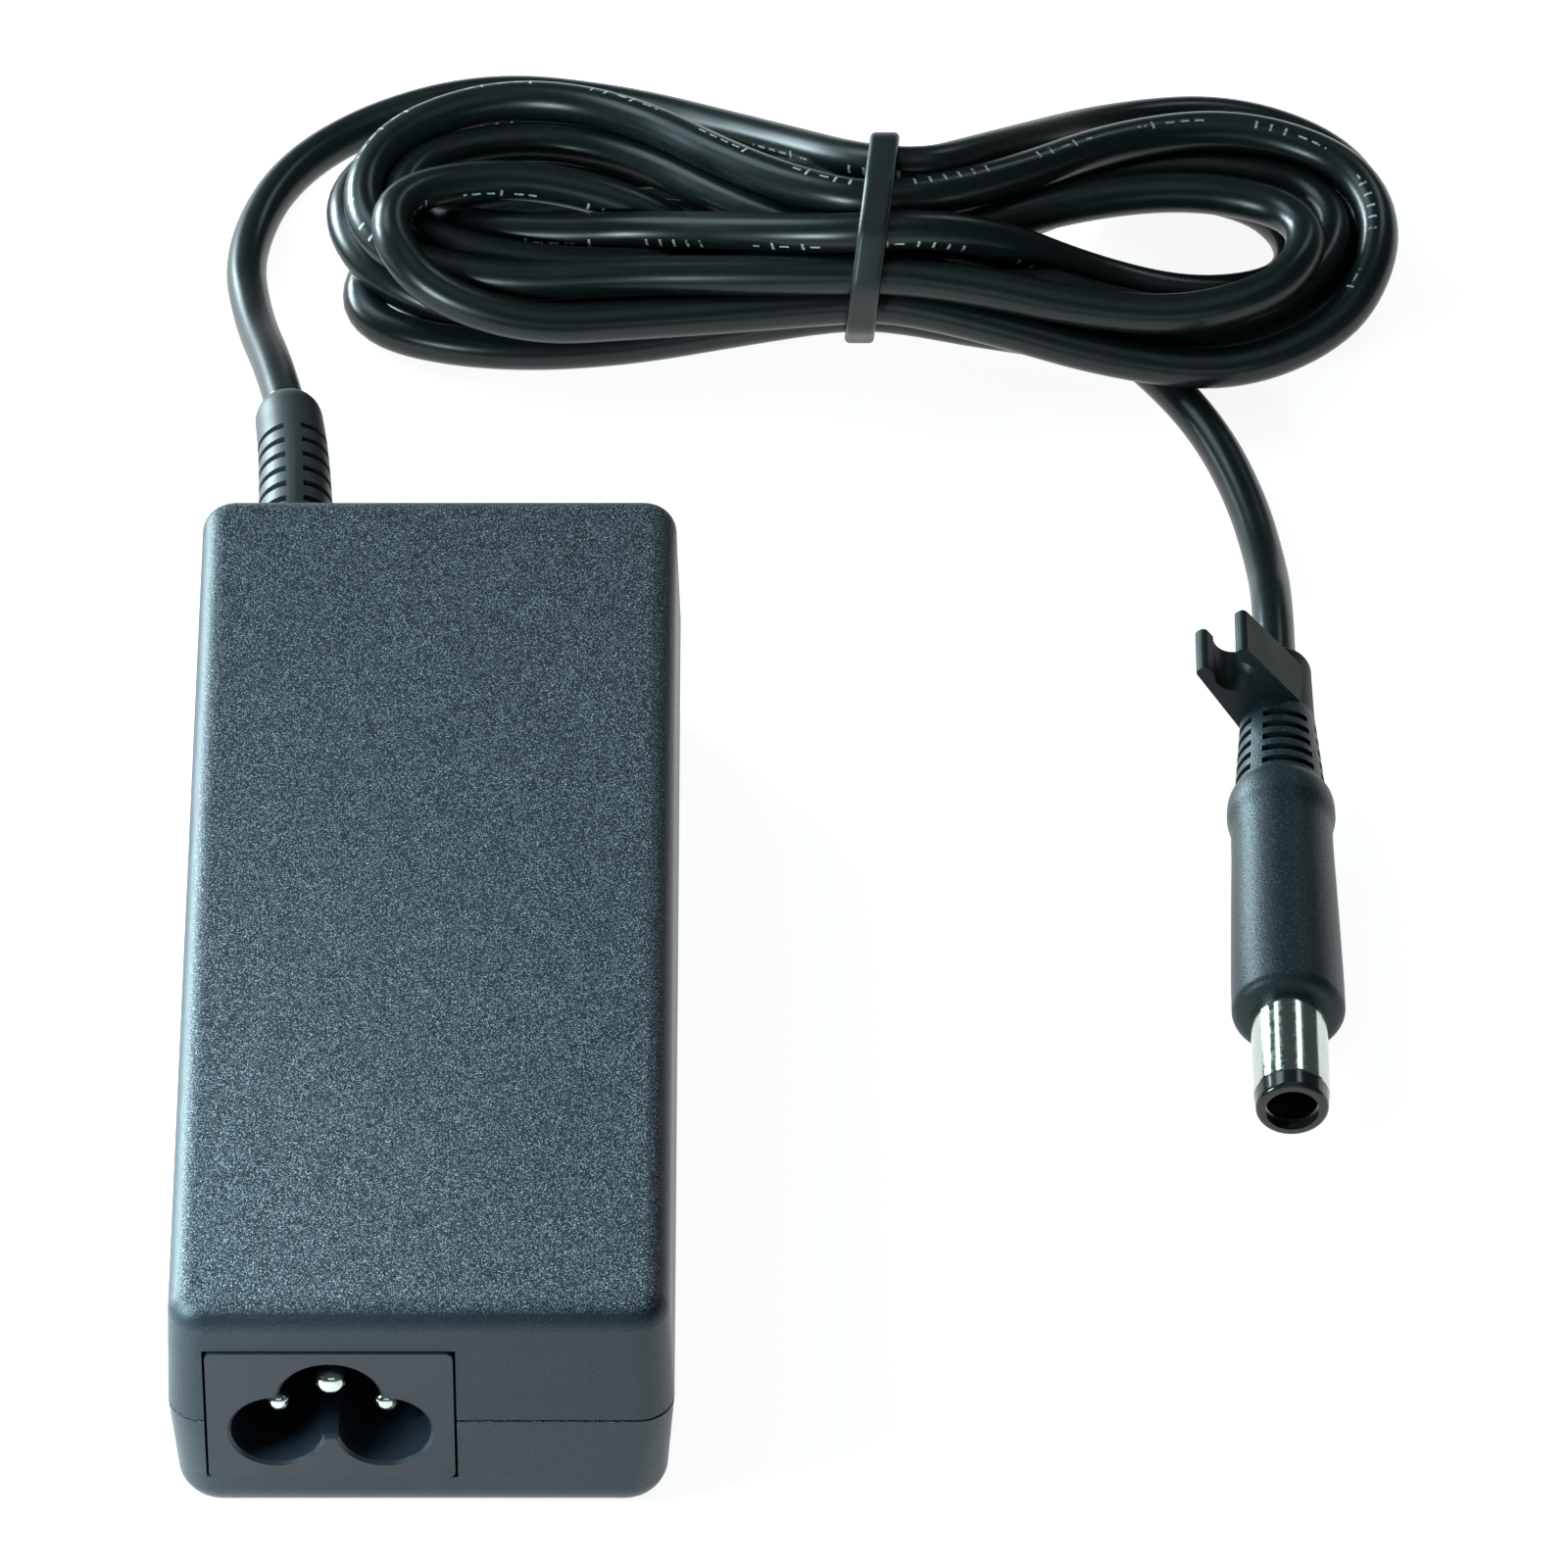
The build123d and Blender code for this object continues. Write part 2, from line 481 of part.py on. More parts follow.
def board_pieces():
    save("main_pcb", main_pcb())
    save("insulation_sheet", insulation_sheet())
    save("heat_shield_bottom", heat_shield_bottom())
    save("heat_shield_top", heat_shield_top())
    save("primary_heatsink", heatsink(-1, -18.6, -13, 12))
    save("secondary_heatsink", heatsink(1, 18.6, 17, 42))
    save("switching_transistor", power_package(-17.0, -1, 0))
    save("output_rectifier", power_package(17.0, 1, 30))
    screws = []
    for x, side, y in ((-17.0, -1, 0), (17.0, 1, 30)):
        head = Pos(x - side * 2.0, y, BOARD_TOP + 12.5) * Rot(0, 90, 0) * Cylinder(2.2, 1.4)
        screws.append(head)
    save("heatsink_screws", *screws)
    save("bulk_capacitor", bulk_capacitor())
    core, bobbin, winding = transformer(-1.0, 26.0, 25, 21, 12.6)
    save("transformer_core", core)
    save("transformer_bobbin", bobbin)
    save("transformer_winding", winding)
    core, turns = toroid_choke(-12.3, -20, BOARD_TOP)
    save("line_choke_core", core)
    save("line_choke_winding", *turns)
    core, turns = toroid_choke(10.8, 43.5, BOARD_TOP)
    save("output_choke_core", core)
    save("output_choke_winding", *turns)
    save("x_capacitor", fillet(box(-2, 12, -31.5, -26.5, BOARD_TOP, BOARD_TOP + 11).edges(), 0.5))
    y_caps = [Pos(x, y, BOARD_TOP + 4.6) * Rot(90, 0, 0) * Cylinder(3.6, 2.8) for x, y in ((15.4, -25), (-13.4, 14.4))]
    y_caps = [fillet(cap.edges(), 1.0) + rod(cap.center().X, cap.center().Y, BOARD_TOP, BOARD_TOP + 1.6, 0.4)
              for cap in y_caps]
    save("y_capacitors", *y_caps)
    save("fuse", fillet(rod(-10, -28.2, BOARD_TOP, BOARD_TOP + 7.5, 3.9).faces().sort_by(Axis.Z)[-1].edges(), 0.6))
    save("thermistor", fillet((Pos(-1.6, -22.6, BOARD_TOP + 6) * Rot(90, 0, 0) * Cylinder(4, 3.4)).edges(), 1.2)
         + rod(-1.6, -22.6, BOARD_TOP, BOARD_TOP + 2.6, 0.4))
    bridge = box(3, 17, -20.0, -16.6, BOARD_TOP + 3, BOARD_TOP + 13)
    bridge = chamfer(bridge.edges().filter_by(Axis.Y).group_by(Axis.Z)[-1].sort_by(Axis.X)[0], 2)
    for k in range(4):
        bridge += box(4.4 + 3.6 * k, 5.0 + 3.6 * k, -18.6, -18.0, BOARD_TOP, BOARD_TOP + 3.2)
    save("bridge_rectifier", bridge)
    cans = [fillet(rod(x, y, BOARD_TOP, BOARD_TOP + 14.5, 4.0).edges(), 0.6) for x, y in ((-6.5, 43), (0.5, 43.6))]
    save("output_capacitors", *cans)
    save("optocoupler", box(-18.8, -14.3, 27, 31.6, BOARD_TOP, BOARD_TOP + 3.4))
    save("controller_ic", box(-6.2, -2.2, 4, 9, BOARD_Z0 - 1.6, BOARD_Z0))


def wiring():
    tab_y, land_y = FRONT_Y + INLET_DEPTH + 3.2, -33.4
    mains = []
    for x, land_x in ((INLET_X - PIN_PITCH / 2, -14.4), (INLET_X + PIN_PITCH / 2, -2.6)):
        mains.append(wire(0.8, (x, tab_y, PIN_LINE_Z), (x, tab_y + 1.7, PIN_LINE_Z),
                          (land_x, land_y, BOARD_TOP + 0.3)))
    save("mains_wires", *mains)
    top_z = PIN_LINE_Z + EARTH_RISE
    save("earth_wire", wire(0.8, (INLET_X, tab_y, top_z), (INLET_X, tab_y + 1.8, top_z),
                            (13.0, land_y, 14.5), (13.2, land_y, BOARD_TOP + 0.2)))
    tail_y = 46.0
    save("output_cord_tail", rod_y(RELIEF_X, RELIEF_Z, tail_y, FLANGE_IN_Y, CORD_R))
    out = []
    for dx, dz, land in ((-1.0, 0.3, (-17.2, 38.5)), (1.0, 0.3, (-12.2, 38.5)), (0, -1.2, (-14.7, 40.5))):
        x, z = RELIEF_X + dx, RELIEF_Z + dz
        out.append(wire(0.45, (x, tail_y, z), (x, tail_y - 3.2, z),
                        (land[0], land[1] + 0.6, BOARD_TOP + 2.8), (land[0], land[1], BOARD_TOP + 0.15)))
    save("output_wires", *out)


def main():
    save("bottom_cover", bottom_cover())
    save("top_cover", top_cover())
    save("rating_label", rating_label())
    save("inlet_housing", inlet_housing())
    save("line_pin", contact_pin(PIN_PITCH / 2, 0, LINE_PIN_R, LINE_PIN_RECESS))
    save("neutral_pin", contact_pin(-PIN_PITCH / 2, 0, LINE_PIN_R, LINE_PIN_RECESS))
    save("earth_pin", contact_pin(0, EARTH_RISE, EARTH_PIN_R, EARTH_PIN_RECESS))
    save("output_strain_relief", output_strain_relief())
    output_lead, plug_lead = tube(OUTPUT_LEAD), tube(PLUG_LEAD)
    save("output_cord_lead", output_lead)
    save("plug_cord_lead", plug_lead)
    save("cord_hank", cord_hank(output_lead, plug_lead))
    save("cord_tie_band", cord_tie_band())
    plug_pieces()
    board_pieces()
    wiring()


main()
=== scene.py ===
from math import cos, pi, radians, sin

import bpy
import numpy as np
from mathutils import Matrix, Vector


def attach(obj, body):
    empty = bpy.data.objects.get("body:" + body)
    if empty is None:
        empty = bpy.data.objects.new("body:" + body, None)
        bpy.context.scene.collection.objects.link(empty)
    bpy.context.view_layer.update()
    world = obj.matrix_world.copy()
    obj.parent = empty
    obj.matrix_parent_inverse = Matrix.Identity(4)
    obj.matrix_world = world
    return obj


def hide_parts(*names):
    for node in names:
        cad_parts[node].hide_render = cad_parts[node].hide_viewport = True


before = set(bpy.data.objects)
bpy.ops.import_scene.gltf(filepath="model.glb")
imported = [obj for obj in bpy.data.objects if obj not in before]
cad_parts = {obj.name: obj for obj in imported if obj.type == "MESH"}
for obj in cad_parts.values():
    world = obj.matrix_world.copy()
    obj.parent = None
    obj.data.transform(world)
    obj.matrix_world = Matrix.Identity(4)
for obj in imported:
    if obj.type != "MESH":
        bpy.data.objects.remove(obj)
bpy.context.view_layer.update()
scene = bpy.context.scene

# ---- the cord and where it runs (part.py holds the same leads, in millimetres)
CORD_D = 0.0041
OUTPUT_LEAD = [
    (-0.0162, 0.0844, 0.0110), (-0.0176, 0.0930, 0.0086), (-0.0202, 0.1046, 0.0043),
    (-0.0219, 0.1172, 0.0021), (-0.0182, 0.1294, 0.0021), (-0.0094, 0.1380, 0.0021),
    (0.0030, 0.1414, 0.0034),
]
TO_HANK = [(0.0165, 0.1390, 0.0046), (0.0290, 0.1300, 0.0090)]
PLUG_LEAD = [
    (0.0620, 0.1095, 0.0030), (0.0703, 0.1012, 0.0021), (0.0764, 0.0916, 0.0021),
    (0.0801, 0.0809, 0.0021), (0.0819, 0.0702, 0.0026), (0.0822, 0.0610, 0.0055),
    (0.0822, 0.0529, 0.0055),
]

# ---- the hank: seven turns through a tied waist
HANK = Vector((0.0426, 0.1104, 0.0108))     # the middle of the waist, under the tie
RING, CORE = 0.0072, 0.0026             # radii of the two rings of slots that strands pass the waist in
WAIST_R, WAIST_HALF = 0.0075, 0.007     # the tie holds strands within this radius, this far along X
LEAVE_WAIST = 0.008                     # how far past the waist the last strand bends away to the plug
# Each loop: the waist slots that it leaves from and comes back to, as (radius, angle), how far out
# its end reaches, and the (y, z) of its strand on the way out, at its tip and on the way back.
RIGHT_LOOPS = [
    ((RING, 66), (RING, 236), 0.0500, (0.1372, 0.0026), (0.1210, 0.0021), (0.1050, 0.0022)),
    ((RING, 0), (RING, 143), 0.0420, (0.1275, 0.0024), (0.1165, 0.0021), (0.1055, 0.0036)),
    ((RING, 329), (RING, 267), 0.0460, (0.1280, 0.0058), (0.1180, 0.0042), (0.1035, 0.0032)),
    ((RING, 33), (CORE, 210), 0.0480, (0.1310, 0.0064), (0.1180, 0.0066), (0.1020, 0.0056)),
    ((CORE, 30), (CORE, 300), 0.0455, (0.1255, 0.0082), (0.1150, 0.0080), (0.1008, 0.0070)),
    ((CORE, 120), (RING, 174), 0.0426, (0.1175, 0.0120), (0.1100, 0.0114), (0.1004, 0.0090)),
    ((RING, 112), (RING, 205), 0.0496, (0.1255, 0.0116), (0.1135, 0.0102), (0.0985, 0.0056)),
]
LEFT_LOOPS = [
    ((RING, 236), (RING, 0), 0.0485, (0.1050, 0.0021), (0.1125, 0.0021), (0.1242, 0.0022)),
    ((RING, 143), (RING, 329), 0.0460, (0.1130, 0.0078), (0.1210, 0.0060), (0.1295, 0.0054)),
    ((RING, 267), (RING, 33), 0.0515, (0.1085, 0.0038), (0.1210, 0.0039), (0.1330, 0.0046)),
    ((CORE, 210), (CORE, 30), 0.0444, (0.1060, 0.0056), (0.1145, 0.0062), (0.1218, 0.0062)),
    ((CORE, 300), (CORE, 120), 0.0460, (0.1090, 0.0086), (0.1175, 0.0090), (0.1275, 0.0094)),
    ((RING, 174), (RING, 112), 0.0490, (0.1065, 0.0092), (0.1170, 0.0112), (0.1300, 0.0124)),
    ((RING, 205), (RING, 298), 0.0465, (0.1028, 0.0076), (0.1125, 0.0128), (0.1210, 0.0124)),
]
# Half a loop's stations. From the waist to its side: the share of its reach and of the way. Then on to
# the tip: the share of its reach, and of the way in y and in z.
WAIST_TO_SIDE = ((0.06, 0.0), (0.26, 0.30), (0.50, 0.86))
SIDE_TO_TIP = ((0.74, -0.06, 0.0), (0.95, 0.22, 0.40), (1.035, 0.72, 0.85))

# ---- how the strands settle beside each other
RELAX_ROUNDS, RELAX_SAMPLES = 90, 6     # rounds, and samples of the line for each control point
PACE, SMOOTHING = 0.9, 0.1              # share made of a round's push, and taken of a neighbour's shift
SETTLE = 0.00003                        # how far every strand sinks in a round
OWN_STRETCH = 2.2 * CORD_D              # nearer than this along the cord, samples don't push each other
LEAST_GAP = CORD_D / 80                 # keeps the push finite where two samples coincide
LOWEST = CORD_D / 2 + 0.00005           # the centre line's height where the cord rests on the table

# ---- the cord's mesh and its printed marks
LINE_STEPS = 10         # samples of the centre line for each control point
TUBE_STEP, TUBE_SIDES = 0.0012, 20
PRINT_TURN, PRINT_TWIST = radians(100), 9.0     # where round the cord it starts, and radians per metre
MARK_PITCH = 0.0016
TICK_LENGTH, DASH_LENGTH = 0.17, 0.62           # shares of the pitch
TICK_HEIGHT, DASH_HEIGHT = 0.035, 0.0091        # shares of a turn, to either side of the print's middle
DASH_CHANCE = 0.45                              # the rest of the marks are ticks
# Where marks are printed: the length that the pattern repeats after, its start and the printed share.
PRINTED_WORDS = (0.0133, 0.0, 0.62)
PRINTED_STRETCHES = (0.26, 0.6, 0.60)

# ---- the tie band round the waist
BAND_W, BAND_T = 0.0030, 0.0012
BAND_EDGE_R, BAND_EDGE_STEPS = 0.00055, 5
BAND_LEAN = 0.09        # how far it leans along X for each unit of y or z
BAND_RAYS, BAND_STATIONS = 720, 150
BAND_SMOOTHINGS = 4
WAIST_STEP = 0.0005     # how finely the line is searched for the places where it passes under the band

# ---- the view
CAMERA_AT = (0.03365, -0.89509, 0.91520)
CAMERA_TILT = 45.677
CAMERA_LENS, CAMERA_SENSOR = 305.3, 36

# ---- the studio
COOL = (0.74, 0.94, 1.0)
WORLD_STRENGTH = 0.08
FLOOR_HALF, FLOOR_GREY, FLOOR_GLOW = 4, 0.45, 0.90
MIDDLE = (0.03, 0.04, 0.01)     # where most lights point
INLET_END = (-0.02, -0.02, 0.03)
# Each light: its name, place, what it points at, its size and its power in watts.
LIGHTS = [
    ("key_back_left", (-0.24, 0.32, 0.38), MIDDLE, (0.24, 0.18), 0.6),
    ("low_back_left", (-0.62, 0.50, 0.12), MIDDLE, (0.50, 0.22), 14.0),
    ("near_left", (-0.10, -0.08, 0.085), INLET_END, (0.05, 0.06), 0.42),
    ("overhead", (0.15, -0.05, 1.30), MIDDLE, (1.0, 0.8), 1.2),
    ("back_right_strip", (0.36, 0.62, 0.56), MIDDLE, (0.10, 0.34), 0.45),
    ("front", (0.1, -0.9, 0.40), MIDDLE, (0.7, 0.25), 0.6),
]


# ================================================================ finishes
class Finish:
    """A Principled material for one slot, with short calls for its noise, colour and relief."""

    def __init__(self, slot, colour, roughness, metallic=0.0):
        self.slot = slot
        self.material = bpy.data.materials.new(slot + "_finish")
        self.material.use_nodes = True
        self.tree = self.material.node_tree
        self.shader = self.tree.nodes["Principled BSDF"]
        self.set("Base Color", (*colour, 1))
        self.set("Roughness", roughness)
        self.set("Metallic", metallic)
        self.place = self.tree.nodes.new("ShaderNodeTexCoord").outputs["Object"]
        self.normal = None

    def set(self, socket, value):
        self.shader.inputs[socket].default_value = value

    def drive(self, socket, output):
        self.tree.links.new(output, self.shader.inputs[socket])

    def feed(self, socket, value):
        """Links an output to a socket, or sets the socket when the value is a number or a colour."""
        if isinstance(value, bpy.types.NodeSocket):
            self.tree.links.new(value, socket)
        elif isinstance(value, tuple):
            socket.default_value = (*value, 1)
        else:
            socket.default_value = value

    def stretched(self, x, y, z):
        mapping = self.tree.nodes.new("ShaderNodeMapping")
        mapping.inputs["Scale"].default_value = (x, y, z)
        self.tree.links.new(self.place, mapping.inputs["Vector"])
        return mapping.outputs["Vector"]

    def noise(self, size, detail=2.0, place=None):
        """Soft grains of one size, in metres."""
        texture = self.tree.nodes.new("ShaderNodeTexNoise")
        texture.inputs["Scale"].default_value = 1 / size
        texture.inputs["Detail"].default_value = detail
        self.tree.links.new(place or self.place, texture.inputs["Vector"])
        return texture.outputs["Fac"]

    def cells(self, size):
        """Distance to the nearest of scattered points about one size apart, as a share of that size."""
        texture = self.tree.nodes.new("ShaderNodeTexVoronoi")
        texture.inputs["Scale"].default_value = 1 / size
        self.tree.links.new(self.place, texture.inputs["Vector"])
        return texture.outputs["Distance"]

    def between(self, value, low, high, to_low=0.0, to_high=1.0):
        """Maps the values from low to high onto another range, clamped at its ends."""
        node = self.tree.nodes.new("ShaderNodeMapRange")
        self.tree.links.new(value, node.inputs["Value"])
        for name, number in (("From Min", low), ("From Max", high), ("To Min", to_low), ("To Max", to_high)):
            node.inputs[name].default_value = number
        return node.outputs["Result"]

    def maths(self, operation, first, second=0.0):
        node = self.tree.nodes.new("ShaderNodeMath")
        node.operation = operation
        self.feed(node.inputs[0], first)
        self.feed(node.inputs[1], second)
        return node.outputs[0]

    def mixed(self, share, first, second):
        node = self.tree.nodes.new("ShaderNodeMix")
        node.data_type = "RGBA"
        self.feed(node.inputs["Factor"], share)
        self.feed(node.inputs["A"], first)
        self.feed(node.inputs["B"], second)
        return node.outputs["Result"]

    def colour_by(self, pattern, low, high, share, dark, light):
        """Colours the surface from dark towards light, by a share, as the pattern rises from low to high."""
        self.drive("Base Color", self.mixed(self.between(pattern, low, high, 0.0, share), dark, light))

    def roughness_by(self, pattern, where_low, where_high):
        self.drive("Roughness", self.between(pattern, 0.3, 0.7, where_low, where_high))

    def relief(self, height, depth, strength=1.0):
        """Raises the surface by a height map, over any relief already there."""
        node = self.tree.nodes.new("ShaderNodeBump")
        node.inputs["Distance"].default_value = depth
        node.inputs["Strength"].default_value = strength
        self.tree.links.new(height, node.inputs["Height"])
        if self.normal is not None:
            self.tree.links.new(self.normal, node.inputs["Normal"])
        self.normal = node.outputs["Normal"]
        self.drive("Normal", self.normal)


def shaded(colour, factor):
    return tuple(channel * factor for channel in colour)


def grained_plastic(slot, dark, light, roughness, grain, depth, glint_share):
    """Spark-eroded moulded plastic: a grain in relief, with painted glints: the grain's tips are coloured
    pale where the surface faces up, standing in for highlights.
    """
    finish = Finish(slot, dark, roughness)
    finish.set("Specular IOR Level", 0.40)
    finish.set("Specular Tint", (0.78, 0.93, 1.0, 1))
    fine = finish.noise(grain, 3.0)
    coarse = finish.noise(grain * 40, 2.0)
    facing = finish.tree.nodes.new("ShaderNodeSeparateXYZ")
    surface = finish.tree.nodes.new("ShaderNodeNewGeometry")
    finish.tree.links.new(surface.outputs["Normal"], facing.inputs[0])
    # painted highlight: pale glint flecks on the grain tips, only where the surface faces up
    up_facing_glint_mask = finish.between(facing.outputs["Z"], 0.70, 0.99, 0.04, 1.0)
    glint = finish.maths("MULTIPLY", finish.between(fine, 0.54, 0.66, 0.0, glint_share), up_facing_glint_mask)
    tone = finish.mixed(finish.between(coarse, 0.3, 0.7), dark, shaded(dark, 1.18))
    finish.drive("Base Color", finish.mixed(glint, tone, light))
    finish.roughness_by(fine, roughness + 0.07, roughness - 0.06)
    finish.relief(fine, depth)
    return finish


def moulded_rubber(slot, dark, light, roughness):
    """Matt soft rubber with a little bloom and a fine grain."""
    finish = Finish(slot, dark, roughness)
    bloom = finish.noise(0.004, 4.0)
    finish.colour_by(bloom, 0.35, 0.75, 0.6, dark, light)
    finish.roughness_by(bloom, roughness + 0.05, roughness - 0.05)
    finish.relief(finish.noise(0.00022, 2.0), 0.000012)
    return finish


def smooth_plastic(slot, dark, light, roughness, shine=0.5):
    """Satin moulded plastic: faint flow marks, dust-fine relief."""
    finish = Finish(slot, dark, roughness)
    finish.set("Specular IOR Level", shine)
    flow = finish.noise(0.006, 3.0)
    dust = finish.noise(0.00012, 1.0)
    finish.colour_by(flow, 0.35, 0.7, 0.5, dark, light)
    finish.roughness_by(flow, roughness + 0.06, roughness - 0.04)
    finish.relief(dust, 0.000004)
    return finish


def plated_metal(slot, colour, roughness, brushed=(1, 1, 1)):
    """Plated metal with fine drawn lines and slight tarnish."""
    finish = Finish(slot, colour, roughness, metallic=1.0)
    lines = finish.noise(0.0005, 2.0, finish.stretched(*brushed))
    tarnish = finish.noise(0.003, 3.0)
    finish.colour_by(tarnish, 0.45, 0.75, 0.35, colour, shaded(colour, 0.72))
    finish.roughness_by(lines, roughness + 0.08, max(roughness - 0.05, 0.04))
    finish.relief(lines, 0.000002)
    return finish


def printed_jacket(slot):
    """The cord's glossy jacket: extruded streaks, small dents, and pale generic dashes printed along it.
    The tube's UV holds the way round in x, from 0 to 1, and the way along in y, in metres."""
    finish = Finish(slot, (0.006, 0.011, 0.011), 0.24)
    finish.set("Specular IOR Level", 0.40)
    uv = finish.tree.nodes.new("ShaderNodeUVMap")
    uv.uv_map = "UVMap"
    split = finish.tree.nodes.new("ShaderNodeSeparateXYZ")
    finish.tree.links.new(uv.outputs["UV"], split.inputs[0])
    around, along = split.outputs["X"], split.outputs["Y"]
    height = finish.maths("ABSOLUTE", finish.maths("SUBTRACT", around, 0.5))
    step = finish.maths("DIVIDE", along, MARK_PITCH)
    within = finish.maths("FRACT", step)

    def both(first, second):
        return finish.maths("MULTIPLY", first, second)

    def below(value, limit):
        return finish.maths("LESS_THAN", value, limit)

    def shape(length, half_height):
        return both(below(within, length), below(height, half_height))

    def printed(length, start, share):
        phase = finish.maths("ADD", finish.maths("DIVIDE", along, length), start)
        return below(finish.maths("FRACT", phase), share)

    chance = finish.tree.nodes.new("ShaderNodeTexWhiteNoise")
    chance.noise_dimensions = "1D"
    finish.tree.links.new(finish.maths("FLOOR", step), chance.inputs["W"])
    tall = finish.maths("GREATER_THAN", chance.outputs["Value"], DASH_CHANCE)
    mark = finish.mixed(tall, shape(DASH_LENGTH, DASH_HEIGHT), shape(TICK_LENGTH, TICK_HEIGHT))
    worn = finish.between(finish.noise(0.0004, 2.0), 0.30, 0.46)
    ink = both(both(mark, printed(*PRINTED_WORDS)), both(printed(*PRINTED_STRETCHES), worn))
    streaks = finish.between(finish.noise(0.0008, 2.0), 0.35, 0.7, 0.0, 0.6)
    tone = finish.mixed(streaks, (0.004, 0.0085, 0.0085), (0.0075, 0.0140, 0.0135))
    finish.drive("Base Color", finish.mixed(ink, tone, (0.42, 0.48, 0.46)))
    finish.roughness_by(finish.noise(0.006, 2.0), 0.33, 0.27)
    finish.relief(finish.noise(0.008, 1.0), 0.000008, 0.5)
    finish.relief(finish.noise(0.0004, 2.0), 0.0000015)
    return finish


def laminate(slot):
    """Green glass-fibre laminate with its weave showing through the lacquer."""
    finish = Finish(slot, (0.02, 0.10, 0.045), 0.32)
    weave = finish.cells(0.0006)
    finish.colour_by(weave, 0.1, 0.7, 1.0, (0.018, 0.09, 0.04), (0.035, 0.15, 0.07))
    finish.relief(weave, 0.000008)
    return finish


def wound_wire(slot, colour):
    """Enamelled copper turns, as fine ridges across the winding, with painted shade: the colour darkens
    where the ridges are low, in the grooves between turns.
    """
    finish = Finish(slot, colour, 0.28, metallic=0.85)
    ridges = finish.noise(0.0005, 1.0, finish.stretched(0.2, 1, 0.2))
    # painted shade: darker colour in the low grooves between the turns
    finish.colour_by(ridges, 0.35, 0.65, 1.0, shaded(colour, 0.6), colour)
    finish.relief(ridges, 0.00006)
    return finish


def film(slot, dark, light, roughness):
    """A thin printed or insulating film, slightly cockled."""
    finish = Finish(slot, dark, roughness)
    waves = finish.noise(0.012, 2.0)
    fibres = finish.noise(0.0003, 3.0)
    finish.colour_by(fibres, 0.35, 0.7, 0.7, dark, light)
    finish.relief(waves, 0.0001)
    finish.relief(fibres, 0.000004)
    return finish


# In grained_plastic rows the second colour is a painted glint colour, and the last number is its share on
# up-facing grain tips.
FINISHES = {finish.slot: finish for finish in (
    grained_plastic("case_plastic", (0.006, 0.011, 0.016), (0.54, 0.62, 0.68), 0.36, 0.00012, 0.00005, 0.85),
    smooth_plastic("inlet_plastic", (0.008, 0.013, 0.020), (0.012, 0.018, 0.026), 0.34, 0.42),
    plated_metal("nickel_plate", (0.58, 0.63, 0.57), 0.12),
    moulded_rubber("relief_rubber", (0.022, 0.030, 0.031), (0.040, 0.051, 0.052), 0.46),
    printed_jacket("cord_jacket"),
    moulded_rubber("band_rubber", (0.007, 0.013, 0.014), (0.012, 0.020, 0.022), 0.40),
    smooth_plastic("tip_plastic", (0.012, 0.014, 0.015), (0.018, 0.021, 0.022), 0.16),
    grained_plastic("plug_rubber", (0.007, 0.014, 0.016), (0.14, 0.22, 0.24), 0.42, 0.00022, 0.00005, 0.30),
    smooth_plastic("clip_plastic", (0.006, 0.011, 0.012), (0.010, 0.017, 0.018), 0.50, 0.2),
    film("label_film", (0.05, 0.055, 0.06), (0.075, 0.08, 0.085), 0.42),
    laminate("board_laminate"),
    film("insulation_film", (0.55, 0.52, 0.38), (0.68, 0.64, 0.48), 0.4),
    plated_metal("shield_aluminium", (0.80, 0.80, 0.81), 0.34, (1, 0.05, 1)),
    smooth_plastic("component_black", (0.012, 0.012, 0.013), (0.022, 0.022, 0.024), 0.42),
    plated_metal("zinc_steel", (0.62, 0.62, 0.60), 0.30, (1, 0.1, 1)),
    film("capacitor_sleeve", (0.012, 0.018, 0.06), (0.02, 0.03, 0.09), 0.25),
    grained_plastic("ferrite", (0.03, 0.03, 0.032), (0.10, 0.10, 0.105), 0.5, 0.0003, 0.00003, 0.35),
    wound_wire("copper_winding", (0.75, 0.32, 0.12)),
    smooth_plastic("film_capacitor", (0.42, 0.30, 0.04), (0.52, 0.38, 0.06), 0.38),
    smooth_plastic("disc_blue", (0.03, 0.12, 0.38), (0.05, 0.17, 0.48), 0.3),
    smooth_plastic("disc_green", (0.03, 0.22, 0.08), (0.05, 0.30, 0.11), 0.3),
    smooth_plastic("wire_insulation", (0.03, 0.03, 0.032), (0.05, 0.05, 0.052), 0.35),
    smooth_plastic("earth_insulation", (0.10, 0.30, 0.05), (0.30, 0.42, 0.05), 0.35),
)}


def finish_cad_nodes():
    """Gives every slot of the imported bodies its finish; model.glb names each material after its slot."""
    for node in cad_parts.values():
        for place in node.material_slots:
            slot = place.material.name.split(".")[0]
            place.material = FINISHES[slot].material


# ================================================================ the cord
def hank_slot(slot):
    """(y, z) of a strand where it passes through the tied waist."""
    radius, angle = slot
    return HANK.y + radius * cos(radians(angle)), HANK.z + radius * sin(radians(angle))


def mix(a, b, share):
    return a + (b - a) * share


def half_loop(waist, side, tip):
    """Six stations from the waist to a loop's tip: the share of its reach, y and z."""
    stations = [(far, mix(waist[0], side[0], share), mix(waist[1], side[1], share))
                for far, share in WAIST_TO_SIDE]
    return stations + [(far, mix(side[0], tip[0], share_y), mix(side[1], tip[1], share_z))
                       for far, share_y, share_z in SIDE_TO_TIP]


def hank_loop(direction, start, end, reach, out, tip, back):
    """Twelve points round one end of the hank, from the waist and back to it."""
    stations = half_loop(hank_slot(start), out, tip) + half_loop(hank_slot(end), back, tip)[::-1]
    return [(HANK.x + direction * far * reach, y, z) for far, y, z in stations]


